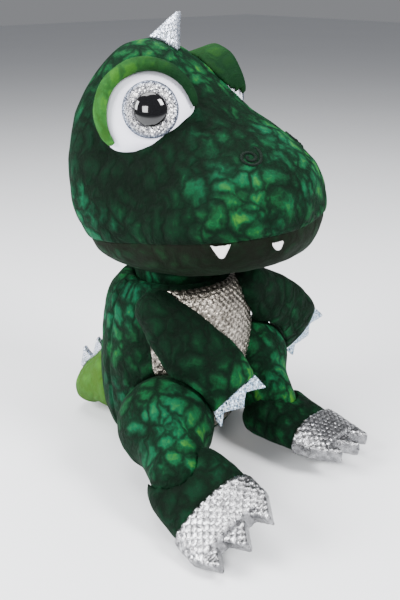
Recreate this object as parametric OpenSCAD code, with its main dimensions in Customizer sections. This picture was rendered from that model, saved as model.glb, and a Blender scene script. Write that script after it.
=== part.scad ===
// Sitting plush dinosaur with a big head, padded eyelids, glitter eyes, a metallic scale belly and
// toe caps, felt teeth and a row of soft spines. Covers are closed cloth shells around stuffing.
// Frame: X across (the toy's left is +X), Y back (it faces -Y), Z up, origin under the seat, millimetres.

/* [Cloth] */
// Thickness of the pile cloth
cloth = 2.5; // [2:0.1:3]
// Free space between a cover and its stuffing
stuff_gap = 0.3; // [0.1:0.1:0.6]
// Clearance where a limb turns in its socket
turn_gap = 0.4; // [0.3:0.1:0.6]
// Thickness of the metallic cloth
foil = 1.2; // [0.8:0.1:1.6]

/* [Neck and tail] */
// Height of the neck pivot above the seat
neck_z = 118; // [116:1:120]
// Radius of the stuffed neck ball
neck_r = 27; // [25:1:27]
// Radius of the ball end at the tail's root
tail_r = 25; // [23:1:26]
// Height of the tail's pivot
tail_z = 29; // [28:1:31]

/* [Head] */
// Half width of the head at the cheeks
head_w = 62; // [58:1:64]
// Nose-up tilt of the head
head_tilt = 7; // [4:1:10]
// Turn of the head towards its left
head_turn = 22; // [16:1:26]
// Height of the mouth seam above the neck pivot
mouth_z = 30; // [30:1:32]

/* [Eyes] */
// Distance of each eye from the head's middle
eye_x = 46; // [45:1:48]
// Distance of each eye in front of the neck pivot
eye_fwd = 22; // [20:1:24]
// Height of each eye above the neck pivot
eye_up = 103; // [101:1:105]
// Angle by which each eye faces forward from straight sideways
eye_yaw = 36; // [32:1:38]
// Radius of the white eye pad
white_r = 27; // [26:0.5:28]
// Radius of the glitter iris
iris_r = 15.4; // [14:0.1:16]
// Radius of the pupil
pupil_r = 9.3; // [8.5:0.1:10]

/* [Limbs] */
// Radius of the ball end at the shoulder
shoulder_r = 14; // [13:0.5:15]
// Radius of the ball end at the ankle
ankle_r = 17; // [16.5:0.5:17.5]

/* [Hidden] */

green = "darkgreen";
silver = "silver";
stuff = cloth + stuff_gap;
far = 300;

// Smooth steps between the control rows of a form.
function pick(rows, i) = rows[max(0, min(len(rows) - 1, i))];
function curve(a, b, c, d, t) = 0.5 * (2 * b + (c - a) * t + (2 * a - 5 * b + 4 * c - d) * t * t
    + (3 * b - a - 3 * c + d) * t * t * t);
function fine(rows, k) = [
    for (i = [0 : len(rows) - 2]) for (j = [0 : k - 1])
        curve(pick(rows, i - 1), rows[i], rows[i + 1], pick(rows, i + 2), j / k),
    rows[len(rows) - 1]];

// A row is [along, middle across, middle up, half width, half height above, half height below,
// squareness, narrowing upwards]. Squareness 1 is an ellipse and less is boxier.
function bend(v, e) = sign(v) * pow(abs(v), e);
function ring(r, n, cut) = [
    for (j = [0 : n - 1])
        let (c = cos(360 * j / n), s = sin(360 * j / n),
            w = max(r[3] - cut, 0.5), h = max((s > 0 ? r[4] : r[5]) - cut, 0.5))
        [r[1] + w * bend(c, r[6]) * (1 - r[7] * s), r[2] + h * bend(s, r[6])]];

// A closed form through its rows. The cut draws its walls and both ends in by that much.
module form(rows, n, cut = 0) {
    first = rows[0][0];
    last = rows[len(rows) - 1][0];
    squeeze = (last - first - 2 * cut) / (last - first);
    m = len(rows);
    points = [for (r = rows) for (p = ring(r, n, cut))
        [p[0], p[1], first + cut + (r[0] - first) * squeeze]];
    sides = [for (i = [0 : m - 2]) for (j = [0 : n - 1]) for (upper = [true, false])
        let (a = i * n + j, b = i * n + (j + 1) % n)
        upper ? [a, a + n, b + n] : [a, b + n, b]];
    bottom = [for (j = [0 : n - 1]) j];
    top = [for (j = [n - 1 : -1 : 0]) (m - 1) * n + j];
    polyhedron(points, faces = concat(sides, [bottom, top]), convexity = 6);
}

// Rows of a ball's rear half, from near its pole towards its middle.
function ball_rows(r, steps, reach = 90) = [
    for (i = [0 : steps - 1]) let (t = 16 + (reach - 16) * i / steps)
        [-r * cos(t), 0, 0, r * sin(t), r * sin(t), r * sin(t), 1, 0]];

// Turns local Z to the front with local Y up, so a form's rows run forwards.
module forwards() {
    rotate([90, 0, 0]) children();
}

// Lays local Z along a direction, after a roll about it.
module aim(d, roll = 0) {
    rotate([0, acos(d[2] / norm(d)), atan2(d[1], d[0])]) rotate([0, 0, roll]) children();
}

// Torso: rows run upwards from the flat seat.
torso_rows = [
    [0, 0, 4, 38, 34, 25, 1, 0],
    [7, 0, 4, 45, 43, 32, 1, 0],
    [22, 0, 4, 50, 48, 39, 1, 0],
    [42, 0, 4, 52, 50, 45, 1, 0],
    [64, 0, 4, 52, 49, 46, 1, 0],
    [86, 0, 4, 49, 46, 44, 1, 0],
    [104, 0, 4, 45, 42, 40, 1, 0],
    [114, 0, 4, 36, 34, 33, 1, 0]];
neck_at = [0, 4, neck_z];
shoulder_at = [39, -25, 103];
tail_swing = 28;
tail_at = [-42 * sin(tail_swing), 4 + 42 * cos(tail_swing), tail_z];

// Each leg lists its haunch's centre and radius, its ankle, and its foot's turn and lean.
right_leg = [[46, -40, 35], 30, [67, -76, 28], 12, 32];
left_leg = [[42, -20, 46], 29, [36, -52, 26], 12, 8];
function leg_of(side) = side < 0 ? right_leg : left_leg;

module on_side(side) {
    mirror([side < 0 ? 1 : 0, 0, 0]) children();
}

module torso_form(cut, n, k) {
    form(fine(torso_rows, k), n, cut);
}

// Every socket in the torso, grown by a margin. A limb's root is thinner than its ball, so the shoulders
// and shins get room to swing.
shoulder_gap = 1.2;
shin_room = 2.8;
arm_room = 1.6;
module torso_sockets(more) {
    translate(neck_at) sphere(neck_r + turn_gap + more, $fn = 64);
    translate(tail_at) sphere(tail_r + turn_gap + more, $fn = 64);
    for (side = [-1, 1]) on_side(side) {
        translate(shoulder_at) sphere(shoulder_r + shoulder_gap + more, $fn = 64);
        haunch(side, turn_gap + more);
        shin(side, shin_room + more);
    }
}

// What an arm must keep out of: the covered torso and its own side's leg.
module body_space(side, more) {
    difference() {
        torso_form(-foil - arm_room - more, 36, 3);
        torso_sockets(turn_gap - shoulder_gap - more);
    }
    on_side(side) leg_form(side, arm_room + more);
}

module torso_cover() {
    color(green) difference() {
        torso_form(0, 36, 3);
        torso_sockets(0);
        difference() {
            torso_form(cloth, 24, 2);
            torso_sockets(cloth);
        }
    }
}

module torso_stuffing() {
    color("ivory") difference() {
        torso_form(stuff, 24, 2);
        torso_sockets(stuff);
        pellet_shape(stuff_gap);
    }
}

// A round bag of pellets low in the seat, which keeps the toy upright.
pellet_r = 19;
pellet_h = 9;
pellet_at = [2, -8, 16];
module pellet_shape(more) {
    translate(pellet_at) scale([1, 1, (pellet_h + more) / (pellet_r + more)])
        sphere(pellet_r + more, $fn = 48);
}

module pellet_bag() {
    color("tan") pellet_shape(0);
}

// Belly panel: metallic cloth laid over the front of the torso, round below and square at the neck.
belly_low = 12;
belly_mid = 72;
belly_top = 112;
belly_w = 42;
module belly_panel() {
    color(silver) difference() {
        intersection() {
            torso_form(-foil, 36, 3);
            translate([0, -10, belly_mid]) rotate([90, 0, 0]) scale([belly_w, belly_mid - belly_low, 1])
                cylinder(r = 1, h = far, $fn = 64);
        }
        translate([-far, -far, belly_top]) cube(2 * far);
        torso_form(0, 36, 3);
        torso_sockets(0);
    }
}

// A soft fin: its long edge rises from the back to a tip over its steep front edge, and its foot goes deep
// into what it stands on. Its length runs along Y, with the front towards -Y.
module spine(l, h, t) {
    rotate([90, 0, 90]) linear_extrude(t, center = true)
        polygon(concat(
            [[l / 2, -h]],
            [for (i = [0 : 8]) let (u = i / 8) [l / 2 - l * u, h * pow(u, 1.2) * (1.25 - 0.25 * u)]],
            [[-l / 2 + 0.05 * l, h * 0.5], [-l / 2, -h]]));
}

module back_spines() {
    color(silver) difference() {
        for (z = [62, 80, 98]) translate([0, 52 - pow((z - 60) / 38, 2) * 7, z])
            rotate([-84, 0, 0]) spine(17, 11, 4);
        torso_form(0, 36, 3);
        torso_sockets(0);
    }
}

// Neck: a stuffed ball between the torso's cup and the head's cup.
module neck_cover() {
    color(green) translate(neck_at) difference() {
        sphere(neck_r, $fn = 64);
        sphere(neck_r - cloth, $fn = 64);
    }
}

module neck_stuffing() {
    color("ivory") translate(neck_at) sphere(neck_r - stuff, $fn = 64);
}

// Head: rows run forwards from its back, about the neck pivot.
head_rows = [
    [-47, 0, 66, 22, 20, 20, 1, 0],
    [-42, 0, 64, 42, 42, 40, 0.95, 0.05],
    [-29, 0, 60, head_w * 0.92, 66, 51, 0.92, 0.1],
    [-9, 0, 58, head_w, 82, 57, 0.9, 0.14],
    [11, 0, 56, head_w, 82, 58, 0.9, 0.15],
    [31, 0, 54, head_w, 66, 56, 0.9, 0.15],
    [53, 0, 50, head_w * 0.97, 45, 50, 0.9, 0.1],
    [73, 0, 46, head_w * 0.85, 35, 42, 0.9, 0.05],
    [91, 0, 42, head_w * 0.6, 24, 30, 0.92, 0.03],
    [99, 0, 40, head_w * 0.3, 12, 15, 1, 0]];

module head_form(cut, n, k) {
    forwards() form(fine(head_rows, k), n, cut);
}

// Eyes: local Z points out of the eye, local X runs towards the snout and local Y up.
eye_roll = 8;
dome_h = 9;
iris_seat = 7;
iris_t = 1.8;
pupil_h = 4.5;
iris_off = 5;
lower_r = 46;
lower_drop = 14;
eye_slant = 21;
shank_r = 2.5;
washer_r = 9;
washer_t = 1.5;
washer_z = -9;
module on_eye(side) {
    on_side(side) translate([eye_x, -eye_fwd, eye_up])
        rotate([0, 0, -eye_yaw]) rotate([0, 90 - eye_roll, 0]) rotate([0, 0, 90]) mirror([1, 0, 0]) children();
}

// Moves a piece drawn about the neck pivot to where the head holds it.
module on_head() {
    translate(neck_at) rotate([-head_tilt, 0, head_turn]) children();
}

module neck_cup(more) {
    sphere(neck_r + turn_gap + more, $fn = 64);
}

// Half spaces above and below the mouth seam.
module above_mouth(more) {
    translate([-far, -far, mouth_z - more]) cube([2 * far, 2 * far, far]);
}

module shank_hole() {
    translate([0, 0, -far / 10]) cylinder(r = shank_r + stuff_gap, h = far / 5, $fn = 32);
}

module skull_shell() {
    difference() {
        head_form(0, 40, 3);
        neck_cup(0);
        difference() {
            head_form(cloth, 24, 2);
            neck_cup(cloth);
        }
        for (side = [-1, 1]) on_eye(side) shank_hole();
    }
}

module head_cover() {
    color(green) on_head() intersection() {
        skull_shell();
        above_mouth(0);
    }
}

module jaw_cover() {
    color("darkolivegreen") on_head() difference() {
        skull_shell();
        above_mouth(0);
    }
}

module head_stuffing() {
    color("ivory") on_head() difference() {
        head_form(stuff, 24, 2);
        neck_cup(stuff);
        for (side = [-1, 1]) on_eye(side) {
            translate([0, 0, washer_z - washer_t - stuff_gap])
                cylinder(r = washer_r + stuff_gap, h = far / 10, $fn = 48);
            shank_hole();
        }
    }
}

module eye_white_shape() {
    ball = (white_r * white_r + dome_h * dome_h) / (2 * dome_h);
    translate([0, -iris_off, 0]) rotate([0, 0, eye_slant]) intersection() {
        translate([0, 0, dome_h - ball]) sphere(ball, $fn = 96);
        translate([0, 0, -dome_h]) cylinder(r = white_r, h = dome_h + iris_seat, $fn = 96);
        translate([0, lower_r - lower_drop, -far / 2]) cylinder(r = lower_r, h = far, $fn = 96);
    }
}

module eye_white(side) {
    color("white") on_head() difference() {
        on_eye(side) difference() {
            eye_white_shape();
            translate([0, 0, -far / 2]) cylinder(r = shank_r, h = far, $fn = 32);
        }
        head_form(0, 40, 3);
    }
}

module iris(side) {
    color("lightsteelblue") on_head() on_eye(side) translate([0, 0, iris_seat]) difference() {
        cylinder(r1 = iris_r, r2 = iris_r - iris_t / 2, h = iris_t, $fn = 64);
        translate([0, 0, -1]) cylinder(r = shank_r, h = iris_t + 2, $fn = 32);
    }
}

// A shallow plastic dome, cut from the ball that gives it its height at its rim radius.
module pupil(side) {
    ball = (pupil_r * pupil_r + pupil_h * pupil_h) / (2 * pupil_h);
    color([0.03, 0.03, 0.03]) on_head() on_eye(side) translate([0, 0, iris_seat + iris_t]) intersection() {
        translate([0, 0, pupil_h - ball]) sphere(ball, $fn = 96);
        cylinder(r = pupil_r, h = far, $fn = 64);
    }
}

module eye_shank(side) {
    low = washer_z - washer_t - 3;
    color("dimgray") on_head() on_eye(side) translate([0, 0, low])
        cylinder(r = shank_r, h = iris_seat + iris_t - low, $fn = 32);
}

module eye_washer(side) {
    color("gainsboro") on_head() on_eye(side) translate([0, 0, washer_z - washer_t]) difference() {
        cylinder(r = washer_r, h = washer_t, $fn = 48);
        translate([0, 0, -1]) cylinder(r = shank_r, h = washer_t + 2, $fn = 32);
    }
}

// A padded brow along an arc of the eye's rim, thickest behind the eye. Its outer edge is round and its
// walls run down to the skull.
lid_at = [-1, -1.5, 2.5];
lid_r = 26.3;
lid_thick = 4.1;
lid_deep = 27;
lid_from = 0;
lid_to = 213;
module lid_shape() {
    steps = 26;
    n = 16;
    points = [for (i = [0 : steps]) let (u = i / steps, a = lid_from + (lid_to - lid_from) * u,
            r = lid_thick * (0.75 + 0.25 * u) * pow(sin(3 + 174 * pow(u, 0.85)), 0.35))
        for (j = [0 : n - 1]) let (c = cos(360 * j / n), s = sin(360 * j / n),
                d = lid_r + r * (s < 0 ? bend(c, 0.3) : c))
            [d * cos(a), d * sin(a), s < 0 ? lid_deep * s : r * s]];
    sides = [for (i = [0 : steps - 1]) for (j = [0 : n - 1]) for (upper = [true, false])
        let (p = i * n + j, q = i * n + (j + 1) % n)
        upper ? [p, q + n, p + n] : [p, q, q + n]];
    translate(lid_at) polyhedron(points, convexity = 6, faces = concat(sides,
        [[for (j = [n - 1 : -1 : 0]) j], [for (j = [0 : n - 1]) steps * n + j]]));
}

module eyelid(side) {
    color("forestgreen") on_head() difference() {
        on_eye(side) difference() {
            lid_shape();
            eye_white_shape();
        }
        head_form(0, 40, 3);
    }
}

// A swirl of thread on each side of the snout, and the way it faces.
swirl_at = [33, -74.2, 73];
swirl_faces = [0.38, -0.61, 0.69];
thread_r = 0.9;
module nostril(side) {
    color("black") on_head() difference() {
        on_side(side) translate(swirl_at) aim(swirl_faces, 60) {
            rotate_extrude(angle = 310, $fn = 48) translate([5.2, 0]) circle(r = thread_r, $fn = 16);
            rotate([0, 0, 130]) rotate_extrude(angle = 230, $fn = 32)
                translate([2.4, 0]) circle(r = thread_r, $fn = 16);
        }
        head_form(0, 40, 3);
    }
}

// Felt teeth that hang from the mouth seam: [way it faces from straight ahead, distance across, forward].
tooth_w = 12.5;
tooth_h = 8.5;
tooth_t = 2;
tooth_spots = [[41, 35, 86], [71, 53, 61]];
module teeth(side) {
    tip = [for (a = [-60 : 30 : 60]) [1.8 * sin(a), 1.8 - tooth_h - 1.8 * cos(a)]];
    color("whitesmoke") on_head() difference() {
        on_side(side) for (spot = tooth_spots)
            translate([spot[1], -spot[2], mouth_z]) rotate([0, 0, spot[0]]) rotate([84, 0, 0])
                translate([0, 0, 0.4]) linear_extrude(tooth_t)
                    polygon(concat([[-tooth_w / 2, 0]], tip, [[tooth_w / 2, 0]]));
        head_form(0, 40, 3);
    }
}

module head_spines() {
    color(silver) on_head() difference() {
        union() {
            translate([0, -8, 136]) rotate([8, 0, 0]) spine(25, 19, 5);
            translate([0, 45, 80]) rotate([-78, 0, 0]) spine(18, 10, 5);
        }
        head_form(0, 40, 3);
    }
}

// Arms: rows run from the shoulder ball to the hand.
hand_at = 68;
arm_rows = concat(ball_rows(shoulder_r, 4, 70), [
    [2, 0, 0, shoulder_r, shoulder_r, shoulder_r, 1, 0],
    [20, 0, 0, 12, 19, 19, 1, 0],
    [42, 0, 0, 11, 22, 22, 0.95, 0],
    [60, 0, 0, 9, 21, 21, 0.92, 0],
    [hand_at, 0, 0, 5, 19, 19, 0.9, 0]]);
right_reach = [25, -41, -49];
left_reach = [44, -3, -42];
right_roll = 63;
left_roll = 95;

module on_arm(side) {
    on_side(side) translate(shoulder_at) on_side(side)
        if (side < 0) aim(right_reach, right_roll) children();
        else aim(left_reach, left_roll) children();
}

module arm_cover(side) {
    color(green) difference() {
        on_arm(side) form(fine(arm_rows, 2), 24);
        body_space(side, 0);
        difference() {
            on_arm(side) form(fine(arm_rows, 1), 16, cloth);
            body_space(side, cloth);
        }
    }
}

module arm_stuffing(side) {
    color("ivory") difference() {
        on_arm(side) form(fine(arm_rows, 1), 16, stuff);
        body_space(side, stuff);
    }
}

// Three flat glitter points past the end of the hand.
claw_l = 10;
claw_t = 3;
hand_w = 36;
module hand_claws(side) {
    color("lightsteelblue") difference() {
        on_arm(side) translate([0, 0, hand_at]) rotate([90, 0, 90]) linear_extrude(claw_t, center = true)
            polygon([[-hand_w / 2, 0], [-hand_w / 2, claw_l], [-hand_w / 3.2, claw_l / 2.5], [0, claw_l],
                [hand_w / 5, claw_l / 2.5], [hand_w / 2, claw_l], [hand_w / 2, 0]]);
        body_space(side, 0);
    }
}

// Legs: a round haunch, a tapering shin and the ankle's ball, grown by a margin. Both ends of the cone
// sit inside the balls they join.
shin_root = 0.85;
shin_tip = 0.97;
// Turns each haunch's poles and seam away from what cuts it.
seam_turn = [20, 0, 77];
module haunch(side, more) {
    translate(leg_of(side)[0]) rotate(seam_turn) sphere(leg_of(side)[1] + more, $fn = 64);
}

module shin(side, more) {
    leg = leg_of(side);
    reach = leg[2] - leg[0];
    translate(leg[2]) sphere(ankle_r + more, $fn = 64);
    translate(leg[0]) aim(reach)
        cylinder(r1 = leg[1] * shin_root + more, r2 = ankle_r * shin_tip + more, h = norm(reach), $fn = 64);
}

module leg_form(side, more) {
    haunch(side, more);
    shin(side, more);
}

module leg_cover(side) {
    color(green) on_side(side) difference() {
        leg_form(side, 0);
        leg_form(side, -cloth);
    }
}

module leg_stuffing(side) {
    color("ivory") on_side(side) leg_form(side, -stuff);
}

// Feet: rows run forwards from the heel, about the ankle pivot. Each foot is turned out and leans outwards.
foot_rows = [
    [-14, 0, -9, 14, 9, 8, 1, 0],
    [-8, 0, -9, 21, 17, 13, 0.9, 0],
    [4, 0, -9, 25, 20, 13, 0.85, 0],
    [18, 0, -10, 26, 16, 12, 0.85, 0],
    [33, 0, -11, 26, 11, 11, 0.85, 0],
    [45, 0, -12, 25, 7, 9, 0.85, 0],
    [51, 0, -12, 22, 5, 6, 0.85, 0]];
cap_from = 33;
claw_tip = 66;

module on_foot(side) {
    leg = leg_of(side);
    on_side(side) translate(leg[2]) rotate([0, leg[4], leg[3]]) children();
}

module foot_form(cut, n, k) {
    forwards() form(fine(foot_rows, k), n, cut);
}

// What a foot must keep out of: its leg, with room to lean on the ankle's ball.
lean_room = 5;
lean_slack = 1.2;
module foot_space(side, more) {
    leg = leg_of(side);
    reach = leg[0] - leg[2];
    on_side(side) translate(leg[2]) {
        sphere(ankle_r + turn_gap + more, $fn = 64);
        translate(reach) rotate(seam_turn) sphere(leg[1] + lean_room + more, $fn = 64);
        aim(reach) cylinder(r1 = ankle_r + lean_slack + more, r2 = leg[1] + lean_slack + more,
            h = norm(reach), $fn = 64);
    }
}

module foot_cover(side) {
    color(green) difference() {
        on_foot(side) foot_form(0, 28, 2);
        foot_space(side, 0);
        difference() {
            on_foot(side) foot_form(cloth, 20, 1);
            foot_space(side, cloth);
        }
    }
}

module foot_stuffing(side) {
    color("ivory") difference() {
        on_foot(side) foot_form(stuff, 20, 1);
        foot_space(side, stuff);
    }
}

// Metallic cloth over the top of the toes, with three padded claws.
module toe_cap(side) {
    claw_w = 18;
    color(silver) on_foot(side) difference() {
        union() {
            intersection() {
                foot_form(-foil, 28, 2);
                translate([-far / 2, -far - cap_from, -17]) cube([far, far, far]);
            }
            translate([0, 0, -16]) linear_extrude(7) polygon(concat([[-24, -42]],
                [for (i = [-1 : 1]) for (p = [[-0.5, -49], [0, -claw_tip], [0.5, -49]])
                    [(i + p[0]) * claw_w, p[1] + abs(i) * 3]],
                [[24, -42]]));
        }
        foot_form(0, 28, 2);
    }
}

// Tail: rows run backwards from its root ball and droop to the floor.
tail_rows = concat(ball_rows(tail_r, 8, 118), [
    [12.5, 0, 0, 21.5, 21, 21.5, 1, 0],
    [18, 0, -3, 19.5, 17, 20.5, 1, 0],
    [26, 0, -6, 16, 13, 18, 1, 0],
    [33, 0, -10, 9, 8, 12, 1, 0]]);

module on_tail() {
    translate(tail_at) rotate([0, 0, tail_swing]) children();
}

module tail_form(cut, n, k) {
    rotate([90, 0, 180]) form(fine(tail_rows, k), n, cut);
}

module tail_cover() {
    color(green) on_tail() difference() {
        tail_form(0, 28, 2);
        tail_form(cloth, 20, 1);
    }
}

module tail_stuffing() {
    color("ivory") on_tail() tail_form(stuff, 20, 1);
}

module tail_spines() {
    color(silver) on_tail() difference() {
        for (y = [17, 27]) translate([0, y, 21 - pow(y / 27, 2) * 14]) rotate([-28 - y / 2, 0, 0])
            spine(12, 9, 4);
        tail_form(0, 28, 2);
    }
}

torso_cover();
belly_panel();
torso_stuffing();
pellet_bag();
back_spines();
neck_cover();
neck_stuffing();
head_cover();
jaw_cover();
head_stuffing();
eye_white(-1);  // right_eye_white
eye_white(1);  // left_eye_white
iris(-1);  // right_iris
iris(1);  // left_iris
pupil(-1);  // right_pupil
pupil(1);  // left_pupil
eye_shank(-1);  // right_eye_shank
eye_shank(1);  // left_eye_shank
eye_washer(-1);  // right_eye_washer
eye_washer(1);  // left_eye_washer
eyelid(-1);  // right_eyelid
eyelid(1);  // left_eyelid
nostril(-1);  // right_nostril
nostril(1);  // left_nostril
teeth(-1);  // right_teeth
teeth(1);  // left_teeth
head_spines();
arm_cover(-1);  // right_arm_cover
arm_cover(1);  // left_arm_cover
arm_stuffing(-1);  // right_arm_stuffing
arm_stuffing(1);  // left_arm_stuffing
hand_claws(-1);  // right_hand_claws
hand_claws(1);  // left_hand_claws
leg_cover(-1);  // right_leg_cover
leg_cover(1);  // left_leg_cover
leg_stuffing(-1);  // right_leg_stuffing
leg_stuffing(1);  // left_leg_stuffing
foot_cover(-1);  // right_foot_cover
foot_cover(1);  // left_foot_cover
foot_stuffing(-1);  // right_foot_stuffing
foot_stuffing(1);  // left_foot_stuffing
toe_cap(-1);  // right_toe_cap
toe_cap(1);  // left_toe_cap
tail_cover();
tail_stuffing();
tail_spines();
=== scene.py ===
# Sitting plush dinosaur: padded velour covers, glitter eyes and spines, embossed silver scales.
import bpy, bmesh, math
import numpy as np
from mathutils import Matrix, Vector, noise
from mathutils.bvhtree import BVHTree


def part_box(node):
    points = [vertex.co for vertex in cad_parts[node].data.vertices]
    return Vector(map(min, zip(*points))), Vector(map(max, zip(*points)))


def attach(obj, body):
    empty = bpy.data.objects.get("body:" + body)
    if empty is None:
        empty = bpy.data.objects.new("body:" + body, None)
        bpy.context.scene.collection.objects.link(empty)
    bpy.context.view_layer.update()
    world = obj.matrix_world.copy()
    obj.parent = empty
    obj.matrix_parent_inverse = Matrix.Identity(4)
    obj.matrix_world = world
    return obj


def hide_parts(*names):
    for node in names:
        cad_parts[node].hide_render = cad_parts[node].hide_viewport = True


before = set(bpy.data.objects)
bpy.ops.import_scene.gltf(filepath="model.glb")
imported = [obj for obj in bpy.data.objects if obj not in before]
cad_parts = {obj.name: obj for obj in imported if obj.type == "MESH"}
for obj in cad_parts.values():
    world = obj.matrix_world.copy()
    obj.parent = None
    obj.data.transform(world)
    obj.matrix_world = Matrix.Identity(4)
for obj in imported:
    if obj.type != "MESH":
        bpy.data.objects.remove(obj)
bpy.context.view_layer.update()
mm = 0.001
scene = bpy.context.scene
sides = {"right": -1, "left": 1}


# ---- small mesh tools ----
def addPiece(name, mesh):
    piece = bpy.data.objects.new(name, mesh)
    scene.collection.objects.link(piece)
    return piece


def modified(piece, *steps):
    # each step is (modifier type, settings); the result replaces the mesh
    for kind, settings in steps:
        mod = piece.modifiers.new(kind, kind)
        for key, value in settings.items():
            setattr(mod, key, value)
    graph = bpy.context.evaluated_depsgraph_get()
    mesh = bpy.data.meshes.new_from_object(piece.evaluated_get(graph))
    piece.modifiers.clear()
    piece.data = mesh
    return piece


def keepLargest(piece):
    bm = bmesh.new()
    bm.from_mesh(piece.data)
    left, groups = set(bm.verts), []
    while left:
        stack, group = [left.pop()], []
        while stack:
            v = stack.pop()
            group.append(v)
            for e in v.link_edges:
                other = e.other_vert(v)
                if other in left:
                    left.discard(other)
                    stack.append(other)
        groups.append(group)
    groups.sort(key=len)
    for group in groups[:-1]:
        bmesh.ops.delete(bm, geom=group, context="VERTS")
    bm.to_mesh(piece.data)
    bm.free()


def softForm(name, nodes, voxel, relax=6, single=True, swell=0.0):
    # a smooth closed skin over the outside of some CAD nodes
    bm = bmesh.new()
    for node in nodes:
        bm.from_mesh(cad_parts[node].data)
    mesh = bpy.data.meshes.new(name)
    bm.to_mesh(mesh)
    bm.free()
    piece = addPiece(name, mesh)
    modified(piece, ("REMESH", dict(mode="VOXEL", voxel_size=voxel * mm)))
    if single:
        keepLargest(piece)
    steps = [("SMOOTH", dict(factor=0.5, iterations=relax))]
    if swell:
        steps.append(("DISPLACE", dict(strength=swell * mm, mid_level=0.0)))
    return modified(piece, *steps)


def points(piece):
    co = np.empty(len(piece.data.vertices) * 3)
    piece.data.vertices.foreach_get("co", co)
    return co.reshape(-1, 3)


def normals(piece):
    out = np.empty(len(piece.data.vertices) * 3)
    piece.data.vertices.foreach_get("normal", out)
    return out.reshape(-1, 3)


def setPoints(piece, co):
    piece.data.vertices.foreach_set("co", np.asarray(co, float).ravel())
    piece.data.update()


def push(piece, amount):
    # moves every point along its normal; amount is an array in millimetres
    setPoints(piece, points(piece) + normals(piece) * (np.asarray(amount) * mm)[:, None])


def lumps(co, size, seed=0.0):
    # smooth rounded noise, about -1 to 1, with features of that size in millimetres
    k = 1 / (size * mm)
    return np.array([noise.noise(Vector(p) * k + Vector((seed, seed * 2, -seed))) for p in co])


def tag(piece, name, values):
    layer = piece.data.attributes.new(name, "FLOAT", "POINT")
    layer.data.foreach_set("value", np.asarray(values, np.float32))


def settle(piece, body, finish, replaced=()):
    # the closing steps every piece shares
    if "lit" not in piece.data.attributes:
        tag(piece, "lit", np.ones(len(piece.data.vertices)))
    piece.data.materials.clear()
    piece.data.materials.append(finish)
    piece.data.shade_smooth()
    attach(piece, body)
    if replaced:
        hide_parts(*replaced)
    return piece


# ---- shader tools ----
class Wire:
    # a socket that can be added, scaled and so on
    def __init__(self, finish, socket):
        self.finish, self.socket = finish, socket

    def maths(self, operation, a, b=None):
        inputs = [a] if b is None else [a, b]
        return self.finish.node("ShaderNodeMath", dict(operation=operation), inputs)

    def __add__(self, other):
        return self.maths("ADD", self, other)

    def __sub__(self, other):
        return self.maths("SUBTRACT", self, other)

    def __rsub__(self, other):
        return self.maths("SUBTRACT", other, self)

    def __mul__(self, other):
        return self.maths("MULTIPLY", self, other)

    __radd__, __rmul__ = __add__, __mul__


class Finish:
    # a material: node() adds any node, and the rest are the few that are used most
    def __init__(self, name, **fixed):
        self.material = bpy.data.materials.new(name)
        self.material.use_nodes = True
        self.tree = self.material.node_tree
        self.shader = self.tree.nodes["Principled BSDF"]
        for key, value in fixed.items():
            label = "".join(" " + c if c.isupper() else c for c in key).title().replace("Ior", "IOR")
            self.shader.inputs[label].default_value = value

    def plug(self, socket, value):
        if isinstance(value, Wire):
            self.tree.links.new(value.socket, socket)
        else:
            socket.default_value = value

    def node(self, kind, settings=None, inputs=(), output=0):
        node = self.tree.nodes.new(kind)
        for key, value in (settings or {}).items():
            if key == "stops":
                ramp = node.color_ramp
                while len(ramp.elements) < len(value):
                    ramp.elements.new(0.5)
                for element, (place, colour) in zip(ramp.elements, value):
                    element.position, element.color = place, (*colour, 1)
            else:
                setattr(node, key, value)
        pairs = inputs.items() if isinstance(inputs, dict) else enumerate(inputs)
        for key, value in pairs:
            self.plug(node.inputs[key], value)
        return Wire(self, node.outputs[output])

    def place(self):
        return self.node("ShaderNodeTexCoord", output="Object")

    def attribute(self, name):
        return self.node("ShaderNodeAttribute", dict(attribute_name=name), output="Fac")

    def vector(self, operation, *inputs):
        return self.node("ShaderNodeVectorMath", dict(operation=operation), inputs)

    def grain(self, where, scale, detail=3.0, roughness=0.55, output="Fac"):
        return self.node("ShaderNodeTexNoise", {}, {"Vector": where, "Scale": scale, "Detail": detail,
                         "Roughness": roughness}, output)

    def cells(self, where, scale, feature="F1", output="Distance", **more):
        return self.node("ShaderNodeTexVoronoi", dict(feature=feature),
                         {"Vector": where, "Scale": scale, **more}, output)

    def ramp(self, value, *stops):
        return self.node("ShaderNodeValToRGB", dict(stops=stops), [value])

    def limits(self, value, low, high):
        return self.node("ShaderNodeMapRange", dict(interpolation_type="SMOOTHSTEP"),
                         {"Value": value, "From Min": low, "From Max": high})

    def mix(self, amount, a, b, blend="MIX"):
        node = self.tree.nodes.new("ShaderNodeMix")
        node.data_type, node.blend_type = "RGBA", blend
        for key, value in ((0, amount), (6, a), (7, b)):
            value = (*value, 1) if isinstance(value, tuple) and len(value) == 3 else value
            self.plug(node.inputs[key], value)
        return Wire(self, node.outputs[2])

    def bump(self, height, strength, depth, under=None):
        inputs = {"Height": height, "Strength": strength, "Distance": depth * mm}
        if under is not None:
            inputs["Normal"] = under
        return self.node("ShaderNodeBump", {}, inputs)

    def drive(self, **sockets):
        names = dict(colour="Base Color", rough="Roughness", metal="Metallic", normal="Normal")
        for key, value in sockets.items():
            self.plug(self.shader.inputs[names[key]], value)
        return self.material


# ---- finishes ----
plush = dict(vein=(0.0006, 0.0025, 0.0012), deep=(0.0012, 0.013, 0.0048), mid=(0.0035, 0.055, 0.016),
             leaf=(0.038, 0.15, 0.014), teal=(0.003, 0.075, 0.045), cell=92.0, sheen=0.02)


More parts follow.
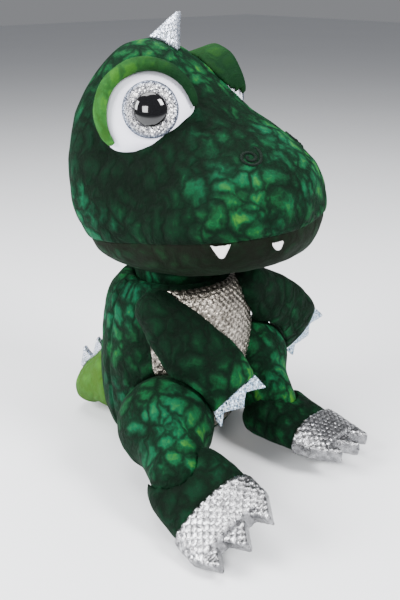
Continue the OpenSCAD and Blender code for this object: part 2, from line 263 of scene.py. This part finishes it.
def velour(name, light=1.0, leafy=0.5, tone=None, strength=1.0, shade=None):
    # short crushed pile, tie-dyed in small lozenges that fade into dark cloud
    f = Finish(name, sheenWeight=plush["sheen"], sheenRoughness=0.4, sheenTint=(0.25, 0.75, 0.42, 1),
               specularIorLevel=0.06)
    where = f.place()
    swirl = f.vector("SUBTRACT", f.grain(where, 48.0, 3.0, output="Color"), (0.5, 0.5, 0.5))
    warp = f.node("ShaderNodeVectorMath", dict(operation="SCALE"), {0: swirl, "Scale": 0.024})
    bent = f.vector("ADD", where, warp)
    tall = f.vector("MULTIPLY", bent, (1.0, 1.0, 0.78))
    hill = f.cells(tall, plush["cell"], "SMOOTH_F1", Smoothness=0.45)
    edge = f.cells(tall, plush["cell"], "DISTANCE_TO_EDGE")
    body = f.limits(edge + f.grain(where, 170.0, 4.0, 0.65) * 0.34, 0.08, 0.50)
    cloud = f.limits(f.grain(where, 13.0, 3.0), 0.36, 0.66)
    lean = f.vector("MULTIPLY", f.grain(where, 9.0, 1.0, output="Color"), (0.05, 0.05, 0.05))
    slant = f.vector("MULTIPLY", f.vector("ADD", bent, lean), (0.9, 0.9, 0.42))
    streak = f.grain(slant, 380.0, 4.0, 0.72)
    rub = f.limits(f.grain(where, 95.0, 4.0, 0.7), 0.25, 0.75)
    glow = (body * 0.66 + 0.22) * (cloud * 0.65 + 0.35) * (1.1 - hill * 0.8)
    glow = glow * (streak * 1.5 + 0.15) * (rub * 0.8 + 0.55)
    # painted light and shade: the lit attribute and the light factor scale the brightness of the dye
    # pattern
    glow = glow * f.attribute("lit") * light
    colour = f.ramp(glow, (0.0, plush["vein"]), (0.16, plush["deep"]), (0.42, plush["mid"]),
                    (0.9, plush["leaf"]))
    blue = f.limits(f.grain(f.vector("ADD", where, (3.1, 0.7, 1.9)), 19.0, 2.0), 0.44, 0.66)
    colour = f.mix(blue * (1.0 - leafy) * f.limits(glow, 0.05, 0.5), colour, plush["teal"])
    if tone:
        colour = f.mix(tone[0], colour, tone[1])
    # painted shade: darkens towards the deep green where the named attribute is high
    if shade:
        colour = f.mix(f.attribute(shade) * 0.93, colour, plush["deep"])
    pile = f.grain(where, 1500.0, 2.0, 0.7)
    height = body * 0.5 - hill * 0.5 + streak * 0.5 + rub * 0.3
    normal = f.bump(pile, 0.6, 0.5, f.bump(height, 0.6 * strength, 2.4))
    return f.drive(colour=colour, rough=f.limits(streak, 0.2, 0.8) * 0.2 + 0.66, normal=normal)


def foilScales(name, tint, dark):
    # silver cloth with embossed scales; the relief attribute is 0 in a groove and 1 on a scale
    f = Finish(name, specularIorLevel=0.5)
    where = f.place()
    relief = f.attribute("relief")
    mottle = f.grain(where, 260.0, 3.0)
    crumple = f.grain(where, 620.0, 4.0, 0.65)
    # painted shade: the colour darkens into the grooves between scales, with a painted highlight added on
    # the scale tops
    bright = f.limits(relief, 0.02, 0.85) * (f.limits(mottle, 0.3, 0.7) * 0.6 + 0.4)
    bright = bright + f.limits(relief, 0.3, 1.0) * 0.15
    colour = f.ramp(bright, (0.0, dark), (0.45, tuple(0.38 * c for c in tint)), (1.0, tint))
    metal = f.limits(relief, 0.0, 0.5) * 0.25 + 0.72
    return f.drive(colour=colour, metal=metal, rough=crumple * 0.3 + 0.12,
                   normal=f.bump(crumple, 0.5, 0.5, f.bump(mottle, 0.5, 2.0, f.bump(relief, 0.6, 0.5))))


def glitter(name, tint, shade, flake, metal=0.85, sparkle=0.55, rim=None):
    # flakes of foil that each tilt their own way
    f = Finish(name, specularIorLevel=0.6)
    where = f.place()
    chip = f.cells(where, 1000.0 / flake, output="Color")
    tilt = f.vector("SUBTRACT", chip, (0.5, 0.5, 0.5))
    face = f.node("ShaderNodeNewGeometry", output="Normal")
    tilted = f.vector("NORMALIZE", f.node("ShaderNodeVectorMath", dict(operation="MULTIPLY_ADD"),
                      [tilt, (sparkle, sparkle, sparkle), face]))
    luck = f.node("ShaderNodeSeparateColor", {}, [chip])
    cloud = f.grain(where, 150.0, 2.0)
    darkest = tuple(0.3 * c for c in shade)
    colour = f.ramp(luck * 0.75 + cloud * 0.3, (0.0, darkest), (0.45, shade), (1.0, tint))
    if rim:
        colour = f.mix(f.attribute("rim"), colour, rim, "MULTIPLY")
    return f.drive(colour=colour, metal=metal, rough=luck * 0.3 + 0.18, normal=tilted)


def wovenPlain(name, tint, weave=900.0, rough=0.7, depth=0.15, sheen=0.15, bound=None):
    # felt, satin or cotton: a fine fibre grain on one tint
    f = Finish(name, sheenWeight=sheen, specularIorLevel=sheen * 2)
    where = f.place()
    fibre = f.grain(where, weave, 4.0, 0.7)
    soil = f.grain(where, 55.0, 2.0)
    colour = f.mix(fibre * 0.35 + soil * 0.3, tint, tuple(0.72 * c for c in tint))
    if bound:
        colour = f.mix(f.attribute("bound"), colour, bound)
    return f.drive(colour=colour, rough=fibre * 0.15 + rough, normal=f.bump(fibre, 0.5, depth))


def moulded(name, tint, rough, coat=0.0):
    f = Finish(name, specularIorLevel=0.6, coatWeight=coat, coatRoughness=0.03)
    speck = f.grain(f.place(), 300.0, 2.0)
    colour = f.mix(speck * 0.4, tint, tuple(1.6 * c for c in tint))
    return f.drive(colour=colour, rough=speck * 0.06 + rough)


def beads(name, tint):
    f = Finish(name, specularIorLevel=0.4)
    ball = f.cells(f.place(), 330.0)
    # painted shade: each bead darkens towards its edge, between the beads
    return f.drive(colour=f.mix(ball, tint, tuple(0.5 * c for c in tint)), rough=ball * 0.2 + 0.45,
                   normal=f.bump(1.0 - ball, 0.8, 1.0))


# light scales the brightness of each velour copy, so the copies are lit and shaded versions of one fabric,
# painted light and shade. The foot and jaw copies are the darkest, painted shade; the jaw is also toned
# near black.
finishes = dict(
    skull=velour("skullVelour", light=1.2, leafy=0.5),
    body=velour("bodyVelour", light=1.15, leafy=0.35),
    leg=velour("legVelour", light=1.05, leafy=0.6),
    arm=velour("armVelour", light=1.35, leafy=0.9),
    tail=velour("tailVelour", light=1.5, leafy=1.0, tone=(0.5, (0.075, 0.17, 0.02))),
    lid=velour("lidVelour", light=1.5, leafy=1.0, tone=(0.4, (0.045, 0.16, 0.02)), strength=0.6,
               shade="front"),
    foot=velour("footVelour", light=0.45, leafy=0.4),
    jaw=velour("jawVelour", light=0.35, leafy=0.6, tone=(0.5, (0.006, 0.004, 0.0025)), strength=0.4),
    belly=foilScales("bellyFoil", (0.60, 0.54, 0.46), (0.022, 0.018, 0.014)),
    toes=foilScales("toeFoil", (0.68, 0.68, 0.70), (0.03, 0.03, 0.034)),
    spine=glitter("spineGlitter", (0.93, 0.95, 1.0), (0.42, 0.47, 0.58), 0.7),
    claw=glitter("clawGlitter", (0.86, 0.93, 1.0), (0.25, 0.36, 0.48), 0.8),
    iris=glitter("irisGlitter", (1.0, 0.99, 0.97), (0.16, 0.16, 0.18), 0.55, 0.75, 0.75,
                 rim=(0.30, 0.36, 0.48)),
    white=wovenPlain("eyeSatin", (0.83, 0.83, 0.93), 1400.0, 0.42, 0.03, bound=plush["deep"]),
    felt=wovenPlain("toothFelt", (0.80, 0.77, 0.76), 1100.0, 0.85, 0.25),
    thread=wovenPlain("darkThread", (0.002, 0.007, 0.004), 1600.0, 0.5, 0.15, 0.03),
    pupil=moulded("pupilGloss", (0.002, 0.002, 0.0025), 0.04, 0.3),
    inner=moulded("washerPlastic", (0.55, 0.55, 0.53), 0.4),
    filling=wovenPlain("fibreFilling", (0.85, 0.84, 0.80), 300.0, 0.95, 1.0),
    pellets=beads("pelletBeads", (0.75, 0.70, 0.60)),
)
print("finishes ready")


# ---- places that match the CAD, in millimetres and degrees ----
head = dict(tilt=-7, turn=22, mouth=30)      # the mouth is above the neck's pivot
eye = dict(out=46, fore=22, up=103, yaw=-36, roll=82, white=27, lower=46, drop=14, slant=21, shift=5)
lid = dict(across=-1, up=-1.5, outer=30.4)
neckLow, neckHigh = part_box("neck_cover")
neckAt = (Vector(neckLow) + Vector(neckHigh)) / 2


def turn(degrees, axis):
    return Matrix.Rotation(math.radians(degrees), 4, axis)


onHead = Matrix.Translation(neckAt) @ turn(head["turn"], "Z") @ turn(head["tilt"], "X")
offHead = onHead.inverted()


def onEye(side):
    # local Z leaves the eye, X runs to the snout and Y up
    flip = Matrix.Diagonal((side, 1, 1, 1))
    place = Matrix.Translation(Vector((eye["out"], -eye["fore"], eye["up"])) * mm)
    return onHead @ flip @ place @ turn(eye["yaw"], "Z") @ turn(eye["roll"], "Y") @ turn(90, "Z") \
        @ Matrix.Diagonal((-1, 1, 1, 1))


def moved(co, matrix):
    m = np.array(matrix)
    return co @ m[:3, :3].T + m[:3, 3]


# ---- camera, lights and floor ----
def setStage():
    camera = bpy.data.objects.new("camera", bpy.data.cameras.new("camera"))
    scene.collection.objects.link(camera)
    camera.data.lens, camera.data.sensor_width = 49.1, 36
    stand, heading, dip = 0.5, math.radians(41.5), math.radians(22)
    camera.location = (-stand * math.sin(math.radians(40)), -stand * math.cos(math.radians(40)), 0.295)
    look = Vector((math.sin(heading) * math.cos(dip), math.cos(heading) * math.cos(dip), -math.sin(dip)))
    camera.rotation_mode = "QUATERNION"
    camera.rotation_quaternion = look.to_track_quat("-Z", "Y")
    camera.data.clip_start = 0.01
    scene.camera = camera

    world = bpy.data.worlds.new("studio")
    world.use_nodes = True
    world.node_tree.nodes["Background"].inputs["Color"].default_value = (0.93, 0.95, 1.0, 1)
    world.node_tree.nodes["Background"].inputs["Strength"].default_value = 0.26
    scene.world = world
    aim = Vector((0, 0, 0.12))
    # each lamp has its place in metres, its size and its power
    lamps = dict(keyBox=((0.25, -0.75, 0.75), 0.35, 18), rimBox=((-0.75, 0.25, 0.55), 0.5, 20),
                 topBox=((0.0, 0.1, 0.95), 0.6, 11), faceBox=((-0.7, -0.6, 0.45), 0.3, 6))
    for name, (spot, size, power) in lamps.items():
        data = bpy.data.lights.new(name, "AREA")
        data.size, data.energy = size, power
        lamp = bpy.data.objects.new(name, data)
        lamp.location = spot
        lamp.rotation_euler = (aim - Vector(spot)).to_track_quat("-Z", "Y").to_euler()
        scene.collection.objects.link(lamp)

    bm = bmesh.new()
    bmesh.ops.create_grid(bm, x_segments=8, y_segments=8, size=4)
    mesh = bpy.data.meshes.new("floor")
    bm.to_mesh(mesh)
    bm.free()
    floor = addPiece("floor", mesh)
    paper = Finish("paleFloor", specularIorLevel=0.2)
    haze = paper.grain(paper.place(), 3.0)
    tint = paper.mix(haze, (0.80, 0.81, 0.83), (0.84, 0.85, 0.87))
    floor.data.materials.append(paper.drive(colour=tint, rough=haze * 0.1 + 0.8))


setStage()
print("stage set")


# ---- head ----
headForm = dict(voxel=2.4, relax=7, lump=1.0, dimple=0.5, jawIn=1.8, hem=1.0, socket=1.6, fill=0.9,
                cupEdge=31, cupFade=6, creaseReach=30, creaseFloor=-16, creaseWidth=2.4)


def eyeFrame(co, side):
    return moved(co, onEye(side).inverted()) / mm


def makeHead():
    s = headForm
    whole = softForm("headSkin", ["head_cover", "jaw_cover"], s["voxel"], s["relax"])
    modified(whole, ("SUBSURF", dict(levels=1, subdivision_type="CATMULL_CLARK")))
    co = points(whole)
    local = moved(co, offHead) / mm
    away = np.linalg.norm(co - np.array(neckAt), axis=1) / mm
    outside = np.clip((away - s["cupEdge"]) / s["cupFade"], 0, 1)      # leaves the neck's cup as it is
    move = lumps(co, 22) * s["lump"] + lumps(co, 9, 5) * s["dimple"]
    for side in sides.values():      # the skin dips where the eyelid is sewn down
        p = eyeFrame(co, side)
        ring = np.hypot(p[:, 0] - lid["across"], p[:, 1] - lid["up"])
        near = (np.abs(p[:, 2]) < s["creaseReach"]) * (p[:, 1] > s["creaseFloor"])
        crease = np.exp(-((ring - lid["outer"] - 1.5) / s["creaseWidth"]) ** 2)
        move += near * s["socket"] * -crease
    drop = local[:, 2] - head["mouth"]
    move += np.where(drop < 0, -s["jawIn"] * np.exp(drop / 7), -s["hem"] * np.exp(-drop / 2.2))
    push(whole, move * outside)
    plane, up = onHead @ Vector((0, 0, head["mouth"] * mm)), onHead.to_3x3() @ Vector((0, 0, 1))
    made = []
    for name, way in (("skullPlush", -1), ("jawPlush", 1)):
        piece = addPiece(name, whole.data.copy())
        bm = bmesh.new()
        bm.from_mesh(piece.data)
        cut = bmesh.ops.bisect_plane(bm, geom=bm.verts[:] + bm.edges[:] + bm.faces[:], plane_co=plane,
                                     plane_no=up * way, clear_outer=True)
        edges = [g for g in cut["geom_cut"] if isinstance(g, bmesh.types.BMEdge)]
        bmesh.ops.triangle_fill(bm, use_beauty=True, edges=edges, normal=up * way)
        bm.to_mesh(piece.data)
        bm.free()
        made.append(piece)
    bpy.data.objects.remove(whole)
    p = moved(points(made[0]), offHead) / mm      # painted light and shade: darkest on the cheeks, brightest on the snout, crown and nape
    snout = np.clip((-p[:, 1] - 38) / 34, 0, 1) * np.clip((p[:, 2] - 34) / 14, 0.35, 1)
    crown = np.clip((p[:, 2] - 92) / 26, 0, 1) * 0.75
    nape = np.clip((p[:, 1] - 8) / 22, 0, 1) * 0.6
    tag(made[0], "lit", 0.24 + 0.8 * np.maximum(np.maximum(snout, crown), nape))
    settle(made[0], "head", finishes["skull"], ["head_cover"])
    settle(made[1], "head", finishes["jaw"], ["jaw_cover"])
    return made[0]


skull = makeHead()
skullTree = BVHTree.FromObject(skull, bpy.context.evaluated_depsgraph_get())
print("head made")


# ---- eyes ----
def lathe(name, profile, matrix, around=64):
    bm = bmesh.new()
    rings = []
    for radius, height in profile:
        rings.append([bm.verts.new((radius * mm * math.cos(a), radius * mm * math.sin(a), height * mm))
                      for a in (2 * math.pi * i / around for i in range(around))])
    for low, high in zip(rings, rings[1:]):
        for i in range(around):
            j = (i + 1) % around
            bm.faces.new((low[i], low[j], high[j], high[i]))
    bm.faces.new(rings[0][::-1])
    bm.faces.new(rings[-1])
    bm.transform(matrix)
    bmesh.ops.recalc_face_normals(bm, faces=bm.faces)
    mesh = bpy.data.meshes.new(name)
    bm.to_mesh(mesh)
    bm.free()
    return addPiece(name, mesh)


def makeWhite(name, side, dome=9.0, seat=7.0, rings=26, around=120):
    # a satin pad: its rim is a circle cut off below by a flatter arc
    ball = (eye["white"] ** 2 + dome ** 2) / (2 * dome)
    centre, slant = eye["lower"] - eye["drop"], math.radians(eye["slant"])
    bm = bmesh.new()
    loops = []
    for i in range(1, rings + 5):
        s = min(i / rings, 1.0)
        skirt = max(i - rings, 0)
        loop = []
        for j in range(around):
            a = 2 * math.pi * j / around
            dip = math.sin(a) * centre
            low = dip + math.sqrt(dip * dip - centre ** 2 + eye["lower"] ** 2)
            rim = (eye["white"] ** -14 + low ** -14) ** (-1 / 14)
            r = rim * s
            z = min(dome - ball + math.sqrt(ball ** 2 - min(r, eye["white"]) ** 2), seat)
            z -= 2.2 * s ** 7 + skirt * 3.5
            x, y = r * math.cos(a + slant), r * math.sin(a + slant) - eye["shift"]
            loop.append(bm.verts.new(Vector((x, y, z)) * mm))
        loops.append(loop)
    bm.faces.new(loops[0])
    for inner, outer in zip(loops, loops[1:]):
        for j in range(around):
            k = (j + 1) % around
            bm.faces.new((inner[j], inner[k], outer[k], outer[j]))
    bm.faces.new(loops[-1][::-1])
    bm.transform(onEye(side))
    bmesh.ops.recalc_face_normals(bm, faces=bm.faces)
    mesh = bpy.data.meshes.new(name)
    bm.to_mesh(mesh)
    bm.free()
    pad = addPiece(name, mesh)
    # the sides of the pad, past its last ring, are bound in dark plush
    tag(pad, "bound", np.arange(len(mesh.vertices)) // around > rings)
    return pad


# radius and height of each step, in millimetres
irisProfile = [(2.6, 6.0), (15.0, 6.0), (15.5, 6.6), (15.5, 7.6), (15.1, 8.3), (14.2, 8.8), (13.2, 8.95),
               (12.4, 9.0), (11.0, 9.05), (9.4, 9.0), (8.8, 8.6), (2.6, 8.6)]
pupilProfile = [(9.3, 8.6), (9.35, 9.1)] + [(9.3 * math.cos(a), 9.2 + 4.0 * math.sin(a))
                                           for a in (math.pi / 2 * i / 14 for i in range(14))]
irisRim = dict(start=12.5, width=2.5)
lidForm = dict(voxel=1.1, relax=7, swell=0.5, fill=0.95, lump=0.5, brightest=175, darkest=45)
for word, side in sides.items():
    white = makeWhite(word + "EyePad", side)
    settle(white, "head", finishes["white"], [word + "_eye_white"])
    ring = lathe(word + "Iris", irisProfile, onEye(side))
    flat = eyeFrame(points(ring), side)
    out = np.hypot(flat[:, 0], flat[:, 1])
    tag(ring, "rim", np.clip((out - irisRim["start"]) / irisRim["width"], 0, 1))
    settle(ring, "head", finishes["iris"], [word + "_iris"])
    dot = lathe(word + "Pupil", pupilProfile, onEye(side))
    settle(dot, "head", finishes["pupil"], [word + "_pupil"])
    roll = softForm(word + "Lid", [word + "_eyelid"], lidForm["voxel"], lidForm["relax"],
                    swell=lidForm["swell"])
    push(roll, lumps(points(roll), 12, 3) * lidForm["lump"])
    # painted shade: the front attribute darkens the lid towards its front end and fades out towards its
    # rear
    p = eyeFrame(points(roll), side)
    bearing = np.degrees(np.arctan2(p[:, 1] - lid["up"], p[:, 0] - lid["across"])) % 360
    bearing = np.where(bearing > 300, 0, bearing)
    fade = (lidForm["brightest"] - bearing) / (lidForm["brightest"] - lidForm["darkest"])
    tag(roll, "front", np.clip(fade, 0, 1))
    settle(roll, "head", finishes["lid"], [word + "_eyelid"])
print("eyes made")


# ---- nostrils and teeth ----
swirl = dict(spot=(33, -74.2, 73), faces=(0.38, -0.61, 0.69), turns=1.75, inner=1.4, outer=6.2,
             thread=0.85)


def makeNostril(name, side):
    # a satin-stitched spiral laid on the skin, with a short tail
    flip = Matrix.Diagonal((side, 1, 1, 1))
    spot = onHead @ flip @ (Vector(swirl["spot"]) * mm)
    out = ((onHead @ flip).to_3x3() @ Vector(swirl["faces"])).normalized()
    across = out.cross(Vector((0, 0, 1))).normalized()
    up = across.cross(out)
    path, steps = [], 90
    for i in range(steps + 1):
        u = i / steps
        r = swirl["inner"] + (swirl["outer"] - swirl["inner"]) * u
        a = 2 * math.pi * swirl["turns"] * u * side + 0.6
        if u > 0.9:
            r += (u - 0.9) * 28
        p = spot + (across * math.cos(a) * 1.15 + up * math.sin(a)) * r * mm
        hit = skullTree.ray_cast(p + out * 0.02, -out)[0]
        path.append((hit or p) + out * 0.0002)
    bm = bmesh.new()
    around, rings = 10, []
    for i, p in enumerate(path):
        ahead = (path[min(i + 1, steps)] - path[max(i - 1, 0)]).normalized()
        wide = ahead.cross(out).normalized()
        r = swirl["thread"] * mm * (1.0 + 0.22 * math.cos(i * 2.1)) * min(1, (steps - i) / 6 + 0.3)
        rings.append([bm.verts.new(p + (wide * math.cos(t) + out * math.sin(t)) * r)
                      for t in (2 * math.pi * j / around for j in range(around))])
    for low, high in zip(rings, rings[1:]):
        for j in range(around):
            k = (j + 1) % around
            bm.faces.new((low[j], low[k], high[k], high[j]))
    bm.faces.new(rings[0][::-1])
    bm.faces.new(rings[-1])
    bmesh.ops.recalc_face_normals(bm, faces=bm.faces)
    mesh = bpy.data.meshes.new(name)
    bm.to_mesh(mesh)
    bm.free()
    return addPiece(name, mesh)


for word, side in sides.items():
    stitch = makeNostril(word + "NostrilStitch", side)
    settle(stitch, "head", finishes["thread"], [word + "_nostril"])
    felt = softForm(word + "FeltTeeth", [word + "_teeth"], 0.45, 3, False, 0.2)
    settle(felt, "head", finishes["felt"], [word + "_teeth"])
print("nostrils and teeth made")


# ---- body, limbs and tail ----
coverForm = dict(lump=0.9, dimple=0.5, fill=0.85)
# piece, body, CAD node, finish, voxel size and smoothing steps
covers = [
    ("bodyPlush", "torso", "torso_cover", "body", 2.3, 7),
    ("neckPlush", "neck", "neck_cover", "body", 2.0, 4),
    ("rightArmPlush", "right_arm", "right_arm_cover", "arm", 1.5, 6),
    ("leftArmPlush", "left_arm", "left_arm_cover", "arm", 1.5, 6),
    ("rightLegPlush", "right_leg", "right_leg_cover", "leg", 2.0, 10),
    ("leftLegPlush", "left_leg", "left_leg_cover", "leg", 2.0, 10),
    ("rightFootPlush", "right_foot", "right_foot_cover", "foot", 1.5, 6),
    ("leftFootPlush", "left_foot", "left_foot_cover", "foot", 1.5, 6),
    ("tailPlush", "tail", "tail_cover", "tail", 1.8, 6),
]


def bodySeams(co):
    # a seam down the back and one down each side
    bearing = np.degrees(np.arctan2(co[:, 0], -(co[:, 1] - 0.004)))
    move = np.zeros(len(co))
    for angle in (-98, 98, 180):
        off = np.abs((bearing - angle + 180) % 360 - 180)
        move -= 1.5 * np.exp(-(off / 1.8) ** 2)
    return move * (co[:, 2] > 0.012)


def litAlong(body, co):
    # painted light and shade: the right arm brightens towards its hand, the left arm is kept dark, and the
    # back is brighter than the front
    if body == "right_arm":
        shoulder, length = np.array([-0.039, -0.025, 0.103]), 0.068
        away = np.linalg.norm(co - shoulder, axis=1) / length
        return 0.18 + 0.95 * np.clip(away - 0.15, 0, 1)
    if body == "left_arm":
        return np.full(len(co), 0.3)
    if body == "torso":
        return 0.45 + 0.6 * np.clip((co[:, 1] + 0.03) / 0.05, 0, 1)
    return np.full(len(co), 0.85)


for name, body, node, finish, voxel, relax in covers:
    piece = softForm(name, [node], voxel, relax)
    modified(piece, ("SUBSURF", dict(levels=1)))
    co = points(piece)
    calm = 0.3 if body == "neck" else 1.0
    move = (lumps(co, 20, 2) * coverForm["lump"] + lumps(co, 8, 7) * coverForm["dimple"]) * calm
    if body == "torso":
        move += bodySeams(co)
    low = np.clip((co[:, 2] - 0.001) / 0.006, 0, 1)      # the seat and soles stay flat
    push(piece, move * low)
    tag(piece, "lit", litAlong(body, co))
    settle(piece, body, finishes[finish], [node])
print("covers made")


# ---- silver scales ----
def scaleRelief(u, v):
    # overlapping scales one unit wide: each one's lower edge lies over the next row
    edge, best = 0.56, np.full(len(u), -1.0)
    for rowStep in (2, 1, 0, -1):
        row = np.floor(v / 0.5) + rowStep
        shift = 0.5 * (row % 2)
        du = (u - shift) - np.round(u - shift)
        dv = (v - row * 0.5) / 1.1
        away = np.hypot(du, dv)
        inside = (away < edge) & (best < 0)
        rise = np.clip((row * 0.5 + 0.3 - v) / 0.9, 0, 1)
        value = rise * np.clip((edge - away) / 0.09, 0, 1) ** 0.6
        best = np.where(inside, value, best)
    return np.clip(best, 0, 1)


def embossed(name, node, place, body, finish, voxel, pitch, height, swell=0.3):
    piece = softForm(name, [node], voxel, 4, True, swell)
    co = points(piece)
    u, v, faces = place(co, normals(piece))
    relief = scaleRelief(u / pitch, v / pitch) * faces + (1 - faces) * 0.45      # plain on its sides
    push(piece, relief * height + lumps(co, 18, 4) * 0.4)
    tag(piece, "relief", relief)
    return settle(piece, body, finish, [node])


def aroundBody(co, facing):
    return np.arctan2(co[:, 0], -(co[:, 1] - 0.004)) * 46, co[:, 2] / mm, np.ones(len(co))


foot = dict(right=((67, -76, 28), 12, 32), left=((36, -52, 26), 12, 8))


def alongFoot(word):
    ankle, spread, lean = foot[word]
    flip = Matrix.Diagonal((sides[word], 1, 1, 1))
    footPlace = flip @ Matrix.Translation(Vector(ankle) * mm) @ turn(spread, "Z") @ turn(lean, "Y")

    def place(co, facing):
        local = moved(co, footPlace.inverted()) / mm
        rise = facing @ np.array(footPlace.to_3x3())[:, 2]
        return local[:, 0], local[:, 1], np.clip((rise - 0.15) / 0.35, 0, 1)
    return place


embossed("bellyScales", "belly_panel", aroundBody, "torso", finishes["belly"],
         0.8, 5.2, 0.75)
for word in sides:
    embossed(word + "ToeCap", word + "_toe_cap", alongFoot(word), word + "_foot",
             finishes["toes"], 0.8, 4.8, 0.7, swell=0.5)
print("scales made")


# ---- spines and claws ----
# piece, body, CAD node, finish, voxel size, smoothing steps and swelling
glitterPieces = [("crownSpines", "head", "head_spines", "spine", 0.8, 5, 0.6),
                 ("backSpines", "torso", "back_spines", "spine", 0.7, 4, 0.5),
                 ("tailSpines", "tail", "tail_spines", "spine", 0.7, 4, 0.5),
                 ("rightClaws", "right_arm", "right_hand_claws", "claw", 0.55, 3, 0.4),
                 ("leftClaws", "left_arm", "left_hand_claws", "claw", 0.55, 3, 0.4)]
for name, body, node, finish, voxel, relax, swell in glitterPieces:
    piece = softForm(name, [node], voxel, relax, False, swell)
    push(piece, lumps(points(piece), 7, 6) * 0.3)
    settle(piece, body, finishes[finish], [node])
print("spines and claws made")


# ---- the CAD pieces that stay ----
kept = dict(stuffing="filling", pellet_bag="pellets", shank="inner", washer="inner")
for name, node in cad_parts.items():
    for key, finish in kept.items():
        if key in name:
            node.data.materials.clear()
            node.data.materials.append(finishes[finish])
print("all pieces placed")
